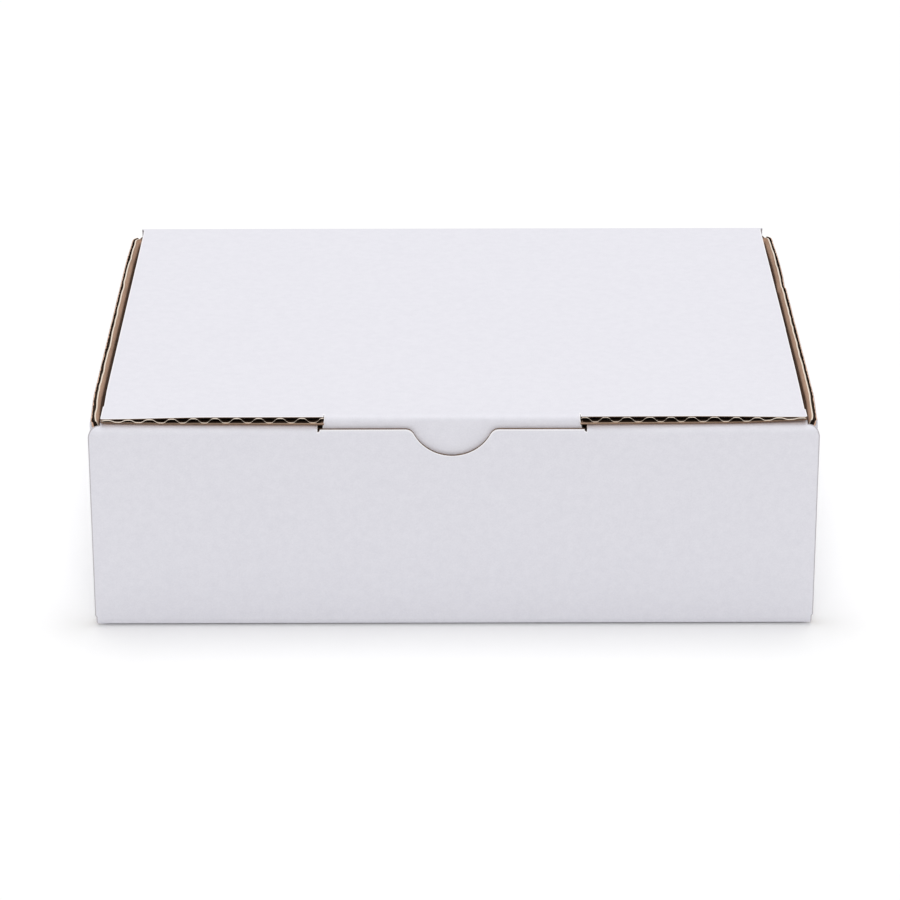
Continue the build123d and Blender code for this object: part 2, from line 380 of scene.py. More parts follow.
@dataclass
class CutPiece:
    """A closed piece of board or liner, cut from a flat outline and folded into place.

    Attributes:
        name: the piece's name.
        loops: the outline and its holes, flat, in mm.
        across: grid values for the first flat coordinate.
        along: grid values for the second.
        place: turns two flat coordinates and a depth below the outer face into a point in mm.
        outer: depth of the piece's outer face.
        inner: depth of its inner face.
        rim: width of the pressed-down rim that a cutting die leaves, or 0.
        rim_drop: how far the rim is pressed in.
        outline_step: the longest stretch of outline.
        rows: how many strips the cut edge is divided into.
        dense: further grids, for the creases and other tight bends.
        rim_kind: what a rim looks like at a place, or None where there is none.
    """

    name: str
    loops: Sequence[Loop]
    across: Sequence[float]
    along: Sequence[float]
    place: Callable[[float, float, float], Point3]
    outer: Callable[[float, float], float]
    inner: Callable[[float, float], float]
    rim: float = 0.0
    rim_drop: float = 0.0
    outline_step: float = 2.5
    rows: int = 1
    dense: Sequence[tuple[Sequence[float], Sequence[float]]] = ()
    rim_kind: Callable[[float, float], Face | None] = lambda u, v: Face.RIM

    def build(self, finishes: dict[Face, bpy.types.Material]) -> bpy.types.Object:
        """Triangulate the outline, fold it and give it its finishes.

        Args:
            finishes: a material for each kind of face; a kind left out takes the outer one.

        Returns:
            The new object.
        """
        loops = [refine(loop, self.outline_step) for loop in self.loops]
        flat = [p for loop in loops for p in loop]
        edges, base = [], 0
        for loop in loops:
            edges += [(base + i, base + (i + 1) % len(loop)) for i in range(len(loop))]
            base += len(loop)
        grids = [(self.across, self.along), *self.dense]
        grid = np.array(sorted({(round(u, 4), round(v, 4)) for us, vs in grids for u in us for v in vs}))
        grid = grid[inside(grid, loops)]
        keep_off = max(self.rim * 2.4, 0.25)
        grid = grid[distances(grid, loops) > keep_off]
        if self.rim:
            flat += self.rim_points(loops)
        flat += [tuple(p) for p in grid]
        verts, _, faces, *_ = delaunay_2d_cdt(
            [Vector(p) for p in flat], edges, [], 0, 1e-5, False)
        points = np.array([tuple(v) for v in verts])
        triangles = np.array(faces)
        triangles = triangles[inside(points[triangles].mean(axis=1), loops)]
        return self.fold(points, triangles, loops, finishes)

    def rim_points(self, loops: Sequence[Loop]) -> Loop:
        """Points a rim's width inside every outline.

        Args:
            loops: the refined outlines.

        Returns:
            The points that fall inside the piece.
        """
        found: Loop = []
        for loop in loops:
            a = np.array(loop)
            run = np.roll(a, -1, axis=0) - np.roll(a, 1, axis=0)
            normal = np.stack([-run[:, 1], run[:, 0]], axis=1)
            normal /= np.maximum(np.hypot(*normal.T), 1e-9)[:, None]
            for side in (-self.rim, self.rim):
                moved = a + normal * side
                good = inside(moved, loops) & (distances(moved, loops) > self.rim * 0.8)
                found += [tuple(p) for p in moved[good]]
        return found

    def fold(self, points: np.ndarray, triangles: np.ndarray, loops: Sequence[Loop],
             finishes: dict[Face, bpy.types.Material]) -> bpy.types.Object:
        """Turn the flat triangles into a closed, folded mesh.

        Args:
            points: the flat points.
            triangles: indices into them.
            loops: the refined outlines.
            finishes: a material for each kind of face.

        Returns:
            The new object.
        """
        count = len(points)
        a, b, c = (points[triangles[:, i]] for i in range(3))
        turned = np.cross(b - a, c - a) < 0
        triangles[turned] = triangles[turned][:, ::-1]
        near = distances(points, loops) < 1e-4 if self.rim else np.zeros(count, bool)
        edge_kinds = [self.rim_kind(*points[i]) if near[i] else None for i in range(count)]
        press = [self.rim_drop if kind else 0.0 for kind in edge_kinds]
        depths = [
            (self.outer(u, v) + press[i], self.inner(u, v)) for i, (u, v) in enumerate(points)
        ]
        shares = [i / self.rows for i in range(self.rows + 1)]
        levels = [
            [self.place(u, v, d0 + (d1 - d0) * t) for (u, v), (d0, d1) in zip(points, depths)]
            for t in (0.0, 1.0)
        ]
        verts = levels[0] + levels[1]
        directed = {(int(t[i]), int(t[(i + 1) % 3])) for t in triangles for i in range(3)}
        border = sorted(e for e in directed if (e[1], e[0]) not in directed)
        rows: dict[int, list[int]] = {}
        for i in sorted({v for e in border for v in e}):
            u, v = points[i]
            d0, d1 = depths[i]
            between = [self.place(u, v, d0 + (d1 - d0) * t) for t in shares[1:-1]]
            rows[i] = [i, *range(len(verts), len(verts) + len(between)), i + count]
            verts += between
        faces = [tuple(int(i) for i in t) for t in triangles]
        kinds = [next((edge_kinds[i] for i in t if edge_kinds[i]), Face.OUTER) for t in faces]
        faces += [tuple(int(i) + count for i in t[::-1]) for t in triangles]
        kinds += [Face.INNER] * len(triangles)
        for i, j in border:
            for k in range(self.rows):
                faces.append((rows[j][k], rows[i][k], rows[i][k + 1], rows[j][k + 1]))
                kinds.append(Face.CUT)
        return make_object(self.name, verts, faces, [k.value for k in kinds], finishes)


def make_object(name: str, verts: Sequence[Point3], faces: Sequence[tuple[int, ...]],
                kinds: Sequence[int], finishes: dict[Face, bpy.types.Material],
                sharp_angle: float = 32.0) -> bpy.types.Object:
    """A mesh object in metres, turned to face outwards and shaded smooth between sharp edges.

    Args:
        name: the object's name.
        verts: points in mm.
        faces: indices into them.
        kinds: the material slot of each face.
        finishes: a material for each kind of face; a kind left out takes the outer one.
        sharp_angle: faces that meet at more than this many degrees keep a sharp edge.

    Returns:
        The new object.
    """
    mesh = bpy.data.meshes.new(name)
    mesh.from_pydata([tuple(c * MM for c in v) for v in verts], [], [tuple(f) for f in faces])
    mesh.update()
    volume = sum(p.center.dot(p.normal) * p.area for p in mesh.polygons)
    if volume < 0:
        mesh.flip_normals()
    for kind in Face:
        mesh.materials.append(finishes.get(kind, finishes[Face.OUTER]))
    mesh.polygons.foreach_set("material_index", list(kinds))
    mesh.shade_smooth()
    mesh.set_sharp_from_angle(angle=math.radians(sharp_angle))
    mesh.validate()
    obj = bpy.data.objects.new(name, mesh)
    bpy.context.scene.collection.objects.link(obj)
    return obj


# ---- finishes --------------------------------------------------------------------------------
def linear(hex_colour: str) -> tuple[float, float, float, float]:
    """An sRGB hex colour as linear red, green, blue and alpha.

    Args:
        hex_colour: six hex digits.

    Returns:
        Four numbers from 0 to 1.
    """
    parts = [int(hex_colour[i : i + 2], 16) / 255 for i in (0, 2, 4)]
    low = [c / 12.92 if c <= 0.04045 else ((c + 0.055) / 1.055) ** 2.4 for c in parts]
    return (low[0], low[1], low[2], 1.0)


def add(tree: bpy.types.NodeTree, kind: str, settings: dict | None = None,
        links: dict | None = None) -> bpy.types.Node:
    """Add a node to a tree.

    Args:
        tree: the node tree.
        kind: the node's type name.
        settings: attribute names, or input names or numbers, and their values.
        links: input names or numbers, and the output sockets to link to them.

    Returns:
        The node.
    """
    node = tree.nodes.new(kind)
    for key, value in (settings or {}).items():
        if isinstance(key, str) and hasattr(node, key):
            setattr(node, key, value)
        else:
            node.inputs[key].default_value = value
    for key, socket in (links or {}).items():
        tree.links.new(socket, node.inputs[key])
    return node


class Flutes(Enum):
    """The coordinate across which a panel's flutes repeat."""

    ALONG_X = "X"
    ALONG_Z = "Z"


@dataclass(frozen=True)
class PaperFinish:
    """Matte paper: a base tone, cloudy fibre flocs, fine grain, sparse specks and washboarding."""

    name: str
    colour: str
    cloud: str
    speck: str
    cloud_share: float
    speck_share: float
    roughness: float
    grain_mm: float
    floc_mm: float
    grain_depth_mm: float
    washboard_mm: float
    flutes: Flutes = Flutes.ALONG_X
    streak: float = 1.0
    pitch_mm: float = 6.52

    def make(self) -> bpy.types.Material:
        """Build the material.

        Returns:
            The material.
        """
        material = bpy.data.materials.new(self.name)
        material.use_nodes = True
        tree = material.node_tree
        tree.nodes.clear()
        place = add(tree, "ShaderNodeTexCoord")
        # fibres lie along the machine direction, across the flutes, so grain is a little longer there
        stretch = (1 / self.streak, 1.0, 1.0)
        grid = add(tree, "ShaderNodeMapping", {"Scale": stretch}, {"Vector": place.outputs["Object"]})
        flocs = add(tree, "ShaderNodeTexNoise",
                    {"Scale": 1 / (self.floc_mm * MM), "Detail": 3.0, "Roughness": 0.6},
                    {"Vector": grid.outputs["Vector"]})
        grain = add(tree, "ShaderNodeTexNoise",
                    {"Scale": 1 / (self.grain_mm * MM), "Detail": 2.0, "Roughness": 0.55},
                    {"Vector": grid.outputs["Vector"]})
        fine = add(tree, "ShaderNodeMath", {"operation": "MULTIPLY", 1: 0.55},
                   {0: grain.outputs["Fac"]})
        mixed = add(tree, "ShaderNodeMath", {"operation": "MULTIPLY_ADD", 1: 0.45},
                    {0: flocs.outputs["Fac"], 2: fine.outputs[0]})
        clouds = add(tree, "ShaderNodeMapRange",
                     {"From Min": 0.36, "From Max": 0.64, "To Max": self.cloud_share},
                     {"Value": mixed.outputs[0]})
        tone = add(tree, "ShaderNodeMix",
                   {"data_type": "RGBA", 6: linear(self.colour), 7: linear(self.cloud)},
                   {0: clouds.outputs["Result"]})
        # recycled fibre shows as sparse specks a few tenths of a millimetre wide
        cells = add(tree, "ShaderNodeTexVoronoi", {"Scale": 1 / (4.5 * MM)},
                    {"Vector": place.outputs["Object"]})
        dots = add(tree, "ShaderNodeMapRange", {"From Min": 0.035, "From Max": 0.055,
                                                "To Min": 1.0, "To Max": 0.0},
                   {"Value": cells.outputs["Distance"]})
        chosen = add(tree, "ShaderNodeMath", {"operation": "GREATER_THAN", 1: 1 - self.speck_share},
                     {0: cells.outputs["Color"]})
        speckle = add(tree, "ShaderNodeMath", {"operation": "MULTIPLY"},
                      {0: dots.outputs["Result"], 1: chosen.outputs[0]})
        final = add(tree, "ShaderNodeMix", {"data_type": "RGBA", 7: linear(self.speck)},
                    {0: speckle.outputs[0], 6: tone.outputs[2]})
        # the liner sinks a few hundredths of a millimetre between the flute tips
        axis = add(tree, "ShaderNodeSeparateXYZ", {}, {0: place.outputs["Object"]})
        wave = add(tree, "ShaderNodeMath", {"operation": "MULTIPLY", 1: math.tau / (self.pitch_mm * MM)},
                   {0: axis.outputs[self.flutes.value]})
        wave = add(tree, "ShaderNodeMath", {"operation": "COSINE"}, {0: wave.outputs[0]})
        boards = add(tree, "ShaderNodeMath", {"operation": "MULTIPLY", 1: self.washboard_mm},
                     {0: wave.outputs[0]})
        height = add(tree, "ShaderNodeMath", {"operation": "MULTIPLY_ADD", 1: self.grain_depth_mm},
                     {0: mixed.outputs[0], 2: boards.outputs[0]})
        bump = add(tree, "ShaderNodeBump", {"Distance": MM, "Strength": 1.0},
                   {"Height": height.outputs[0]})
        shader = add(tree, "ShaderNodeBsdfPrincipled",
                     {"Roughness": self.roughness, "IOR": 1.47, "Specular IOR Level": 0.35},
                     {"Base Color": final.outputs[2], "Normal": bump.outputs["Normal"]})
        add(tree, "ShaderNodeOutputMaterial", {}, {"Surface": shader.outputs["BSDF"]})
        return material


@dataclass(frozen=True)
class Finishes:
    """Every finish of the box."""

    white: bpy.types.Material
    white_side: bpy.types.Material
    rim: bpy.types.Material
    kraft: bpy.types.Material
    kraft_side_painted_light: bpy.types.Material
    medium: bpy.types.Material
    cut: bpy.types.Material
    edge_shade: bpy.types.Material
    flute_shade: bpy.types.Material

    @classmethod
    def make(cls) -> "Finishes":
        """Build all the materials.

        Returns:
            The finishes.
        """
        # Bleached white-top liner, uncoated: a cool matte white with faint clouds and rare specks.
        white = PaperFinish("white_top_liner", "ECEBF2", "E1E0E8", "B3A79C", 0.55, 0.05, 0.68,
                            0.42, 2.6, 0.03, 0.005)
        # The same liner on the side walls, where the flutes lie level.
        side = PaperFinish("white_top_liner_side", "ECEBF2", "E1E0E8", "B3A79C", 0.55, 0.05, 0.68,
                           0.42, 2.6, 0.03, 0.005, Flutes.ALONG_Z)
        # Painted highlight along the die-cut edges: a slightly brighter, softer white line.
        rim = PaperFinish("painted_cut_rim_highlight", "FAF9FC", "F1F0F5", "C9C0B8", 0.4, 0.02, 0.8,
                          0.3, 3.0, 0.03, 0.0)
        # Unbleached kraft liner: warm brown with long fibres and flute lines showing through.
        kraft = PaperFinish("kraft_liner", "CDAF98", "B5957D", "7A5C48", 0.6, 0.12, 0.75,
                            0.4, 5.0, 0.03, 0.02, Flutes.ALONG_X, 2.5)
        # A brightened copy of the kraft liner for the side walls, lifted to make up for the shade between
        # the walls and the lid: painted light.
        kraft_side_painted_light = PaperFinish("kraft_liner_side_painted_light", "F6CDB1", "E0B599", "7A5C48", 0.6, 0.12, 0.75,
                                 0.4, 3.0, 0.03, 0.02, Flutes.ALONG_Z, 1.0)
        # Fluting medium: thin semi-chemical paper, paler than kraft where the die has torn it.
        medium = PaperFinish("fluting_medium_edge", "F7EADB", "E6D3BF", "8A6C55", 0.5, 0.1, 0.8,
                             0.3, 2.5, 0.03, 0.0)
        # Raw cut edge of the pressed board: grey-brown fibre ends.
        cut = PaperFinish("cut_board_edge", "806654", "5A4434", "3F2F25", 0.8, 0.2, 0.85,
                          0.25, 1.5, 0.06, 0.0)
        # Painted shade on the white liner's cut ends and the side walls' top edges: a thin grey line
        # where those edges turn away from the light.
        edge_shade = PaperFinish("painted_edge_shade", "C6C3C8", "B8B3B6", "8A7C70", 0.6, 0.05, 0.8,
                           0.3, 3.0, 0.03, 0.0)
        # Painted shade for the insides of the flutes: a dark brown on the medium's faces and on the
        # liners' faces towards them, standing in for the shade deep in the channels.
        flute_shade = PaperFinish("painted_flute_shade", "54402F", "3D2D21", "2A1F17", 0.6, 0.1, 0.9,
                             0.3, 2.5, 0.03, 0.0)
        every = (white, side, rim, kraft, kraft_side_painted_light, medium, cut, edge_shade, flute_shade)
        return cls(*(finish.make() for finish in every))

    def board(self) -> dict[Face, bpy.types.Material]:
        """White outside, kraft inside."""
        # the rim takes the painted highlight, and the front panel's ends the painted shade
        return {Face.OUTER: self.white, Face.INNER: self.kraft, Face.CUT: self.cut,
                Face.RIM: self.rim, Face.WORN: self.edge_shade}

    def side_board(self) -> dict[Face, bpy.types.Material]:
        """The same for walls whose flutes lie level: painted shade on the inner face towards the flutes,
        a kraft brightened to stand in for light on the cut edge, and painted shade on the rim.
        """
        return {Face.OUTER: self.white_side, Face.INNER: self.flute_shade, Face.CUT: self.kraft_side_painted_light,
                Face.WORN: self.edge_shade}

    def brown(self) -> dict[Face, bpy.types.Material]:
        """Kraft all round."""
        return {Face.OUTER: self.kraft, Face.INNER: self.kraft, Face.CUT: self.kraft}

    def wave(self) -> dict[Face, bpy.types.Material]:
        """Fluting medium: painted shade along its faces, which lie inside the flutes, and pale on the cut
        edge.
        """
        return {Face.OUTER: self.flute_shade, Face.CUT: self.medium}


# ---- the blank -------------------------------------------------------------------------------
@dataclass
class Blank:
    """The strip of the blank that makes the lid, back, bottom, front and its lining."""

    sizes: BoxSizes

    def __post_init__(self) -> None:
        """Lay out the fold path and the stations on it."""
        z, mid = self.sizes, self.sizes.board.mid
        front, back = -z.half_depth + mid, z.half_depth - mid
        crease, roll = z.board.crease_radius, z.board.roll_radius
        self.path = FoldPath(
            corners=[
                (-z.half_depth + z.lid_setback, z.lid_mid),
                (back, z.lid_mid),
                (back, mid),
                (front, mid),
                (front, z.roll_top - mid),
                (z.lining_mid, z.roll_top - mid),
                (z.lining_mid, z.board.caliper + 0.15),
            ],
            radii=[crease, z.board.toe_radius, z.board.toe_radius, roll, roll],
        )
        self.rear, self.heel, self.toe, self.roll_front, self.roll_back = self.path.creases
        self.mitre = sum(self.rear) / 2

    def place(self, x: float, s: float, depth: float) -> Point3:
        """Fold a flat point of the blank into place.

        Args:
            x: across the box.
            s: along the blank from the lid's front edge.
            depth: below the outer face.

        Returns:
            The point in mm.
        """
        point, out = self.path.at(s)
        reach = self.sizes.board.mid - depth
        return (x, point.x + out.x * reach, point.y + out.y * reach)

    def front_station(self, height: float) -> float:
        """The station on the front panel or its roll whose outer face is at a height.

        Args:
            height: above the floor, in mm.

        Returns:
            The distance along the blank.
        """
        z = self.sizes
        start = z.roll_top - z.roll_outer
        if height <= start:
            return self.roll_front[0] - (start - height)
        angle = math.asin(min((height - start) / z.roll_outer, 1.0))
        return self.roll_front[0] + z.board.roll_radius * angle


@dataclass
class SlotAndNotch:
    """The slot for the lid's tab, with the thumb notch in its front edge.

    Attributes:
        blank: the blank it is cut from.
        tick_width: width of the small relief cut at each end of the slot.
        tick_depth: its depth.
        crush_reach: how far from the edge the board is still pressed.
        crush_power: how sharply the pressed edge grows back to full caliper.
    """

    blank: Blank
    tick_width: float = 0.55
    tick_depth: float = 0.8
    crush_reach: float = 4.2
    crush_power: float = 1.5

    def front_edge(self) -> Loop:
        """The slot's front cut edge in (x, height), from left to right through the notch.

        Returns:
            The points.
        """
        z = self.blank.sizes
        line, ease, middle = z.slot_line, z.notch_lead, z.opening_offset
        centre = line - z.notch_depth + z.notch_radius
        drop = centre - (line - ease)
        run = math.sqrt((z.notch_radius + ease) ** 2 - drop**2)
        lean = math.degrees(math.atan2(drop, run))
        left = [
            *arc(middle - run, line - ease, ease, 90, lean, 7),
            *arc(middle, centre, z.notch_radius, 180 + lean, 270, 20)[1:],
        ]
        right = [(2 * middle - x, h) for x, h in reversed(left[:-1])]
        tick, depth = self.tick_width, self.tick_depth
        ends = []
        for side in (-1, 1):
            x = middle + side * z.slot_half
            ends.append([(x, line), (x, line - depth), (x - side * tick, line - depth * 0.8),
                         (x - side * tick * 1.4, line)])
        return [*ends[0], *left, *right, *reversed(ends[1])]

    def loop(self) -> Loop:
        """The whole opening, flat.

        Returns:
            The closed outline.
        """
        z, blank = self.blank.sizes, self.blank
        edge = [(x, blank.front_station(h)) for x, h in self.front_edge()]
        rear = blank.roll_back[0] + 0.4
        return [*edge, (z.opening_offset + z.slot_half, rear), (z.opening_offset - z.slot_half, rear)]

    def crush(self, x: float, height: float) -> float:
        """Thickness of the front panel near the opening, where the die and the tab press it.

        Args:
            x: across the box.
            height: above the floor.

        Returns:
            The thickness in mm.
        """
        z = self.blank.sizes
        gap = self.gap(x, height)
        full = z.board.caliper
        return full - (full - z.slot_edge) * math.exp(-((gap / self.crush_reach) ** self.crush_power))

    def gap(self, x: float, height: float) -> float:
        """Distance from the opening's front edge, and 0 within the opening.

        Args:
            x: across the box.
            height: above the floor.

        Returns:
            The distance in mm.
        """
        z = self.blank.sizes
        dx = abs(x - z.opening_offset)
        below = z.slot_line - height
        centre = z.slot_line - z.notch_depth + z.notch_radius
        ring = math.hypot(dx, centre - height) - z.notch_radius
        beyond = max(dx - z.slot_half, 0.0)
        return max(min(math.hypot(max(below, 0.0), beyond), ring), 0.0)


@dataclass
class Tray:
    """Everything that stands still: front, bottom, back, side walls and corner flaps."""

    blank: Blank
    finishes: Finishes
    opening: SlotAndNotch
    grid: float = 4.0
    tongue_half: float = 12.0
    tongue_middle: float = 60.0
    flap_gap: float = 18.0
    rear_flap_half_gap: float = 52.0
    toe_lift: float = 0.4

    def strip(self) -> bpy.types.Object:
        """Back wall, bottom, front and its rolled-over lining, as one piece of board.

        Returns:
            The object.
        """
        blank, z = self.blank, self.blank.sizes
        path = blank.path
        front_half = z.half_width - z.front_step
        back_half = z.half_width - z.back_step
        floor_half = z.half_width - z.board.caliper - 0.2
        roll_half = z.half_width - z.roll_end_step - 0.3
        corner = 3.4
        top = blank.front_station(z.roll_top - corner)
        crest = blank.roll_front[1] - 0.5
        ease = [
            (front_half - (front_half - roll_half) * (1 - math.cos(t)),
             top + (crest - top) * math.sin(t))
            for t in np.linspace(0, math.pi / 2, 9)
        ]
        end = path.length
        tongue = [(self.tongue_middle + self.tongue_half, end),
                  (self.tongue_middle + self.tongue_half, end + 2.3),
                  (self.tongue_middle - self.tongue_half, end + 2.3),
                  (self.tongue_middle - self.tongue_half, end)]
        shoulder = 2.4
        right = [
            (z.lid_half - 0.9, blank.mitre + 0.08),
            (z.lid_half - 0.9, blank.rear[1] + 0.3),
            *[(z.lid_half + (back_half - z.lid_half) * math.sin(t),
               blank.rear[1] + 0.5 + shoulder * (1 - math.cos(t)))
              for t in np.linspace(0, math.pi / 2, 6)],
            (back_half, blank.heel[1]),
            (floor_half, blank.heel[1]),
            (floor_half, blank.toe[0]),
            (front_half - 0.4, blank.toe[0]),
            (front_half - 0.4, blank.toe[1] + 1.0),
            (front_half, blank.toe[1] + 1.6),
            *ease,
            (roll_half, end),
            *tongue,
        ]
        outline = right + [(-x, s) for x, s in reversed(right)]
        slots = []
        for side in (-1, 1):
            x0, x1 = (side * self.tongue_middle + k * (self.tongue_half + 0.25) for k in (-1, 1))
            # distance along the bottom to the lining's two faces
            s0, s1 = (self.floor_station(z.lining_mid + k * (z.board.mid + 0.25)) for k in (1, -1))
            slots.append([(x0, s0), (x1, s0), (x1, s1), (x0, s1)])
        piece = CutPiece(
            name="front_bottom_back_board",
            loops=[outline, self.opening.loop(), *slots],
            across=spaced(-z.half_width, z.half_width, self.grid),
            along=path.stations(self.grid, 0.42),
            dense=[
                (spaced(-z.half_width, z.half_width, 1.0),
                 spaced(low - 1.2, high + 1.2, 0.42))
                for low, high in (blank.rear, blank.heel, blank.toe, blank.roll_front, blank.roll_back)
            ],
            rim_kind=self.rim_at,
            place=self.place_strip,
            outer=self.strip_outer,
            inner=self.strip_inner,
            rim=0.32,
            rim_drop=0.1,
            outline_step=0.6,
            rows=2,
        )
        return piece.build(self.finishes.board())

    def rim_at(self, x: float, s: float) -> Face | None:
        """What the strip's rim looks like at a place.

        Args:
            x: across the box.
            s: along the blank.

        Returns:
            Painted shade on the front panel's ends, a painted highlight round the opening, none
            elsewhere.
        """
        blank, z = self.blank, self.blank.sizes
        if not blank.toe[0] < s < blank.roll_back[0]:
            return None
        return Face.WORN if abs(x) > z.half_width - 6 else Face.RIM

    def floor_station(self, y: float) -> float:
        """The station on the bottom panel at a depth into the box.

        Args:
            y: the depth, in mm.

        Returns:
            The distance along the blank.
        """
        z = self.blank.sizes
        start = z.half_depth - z.board.mid - z.board.toe_radius
        return self.blank.heel[1] + start - y

    def place_strip(self, x: float, s: float, depth: float) -> Point3:
        """Fold the strip, with the lining's tongues going straight down.

        Args:
            x: across the box.
            s: along the blank.
            depth: below the outer face.

        Returns:
            The point in mm.
        """
        blank, z = self.blank, self.blank.sizes
        if s < blank.roll_front[0]:
            px, py, pz = blank.place(x, s, depth)
            lift = self.toe_lift * smooth(-50.0, -z.half_depth + 4.0, py) * smooth(30.0, 4.0, pz)
            return (px, py, pz + lift)
        if blank.roll_front[0] < s < blank.roll_back[0] - 1.0:
            px, py, pz = blank.place(x, s, depth)
            upright = smooth(z.slot_half + 2.2, z.slot_half - 0.2, abs(x - z.opening_offset))
            upright *= 1 - smooth(z.slot_line + 0.25, z.slot_line + 0.6, blank.place(x, s, 0.0)[2])
            set_in = blank.place(x, s, 0.0)[1] + z.half_depth
            flat_y = -z.half_depth + 0.25 * set_in + depth
            flat_z = blank.place(x, s, 0.0)[2]
            return (px, py + (flat_y - py) * upright, pz + (flat_z - pz) * upright)
        if s <= blank.path.length:
            return blank.place(x, s, depth)
        px, py, pz = self.blank.place(x, self.blank.path.length, depth)
        return (px, py, pz - (s - self.blank.path.length))

    def strip_outer(self, x: float, s: float) -> float:
        """Outer face, set in under the liner that bridges the rear fold.

        Args:
            x: across the box.
            s: along the blank.

        Returns:
            Its depth in mm.
        """
        blank = self.blank
        under_bridge = 1 - smooth(blank.rear[1] + 0.7, blank.rear[1] + 0.9, s)
        return (blank.sizes.board.liner + 0.03) * under_bridge

    def strip_inner(self, x: float, s: float) -> float:
        """Inner face, pressed thin round the slot and the notch.

        Args:
            x: across the box.
            s: along the blank.

        Returns:
            Its depth in mm.
        """
        blank, z = self.blank, self.blank.sizes
        if not blank.toe[1] + 2 < s < blank.roll_back[0]:
            pressed = z.board.toe_radius + z.board.mid - 0.12
            off = min(max(low - s, s - high, 0.0) for low, high in (blank.heel, blank.toe))
            return pressed + (z.board.caliper - pressed) * smooth(0.0, 1.6, off)
        _, _, height = blank.place(x, s, 0.0)
        return self.opening.crush(x, min(height, z.slot_line))

    def build(self) -> list[bpy.types.Object]:
        """Build every standing piece.

        Returns:
            The objects.
        """
        pieces = [self.strip()]
        for side in (-1, 1):
            pieces += SideWall(self, side).build()
        return pieces


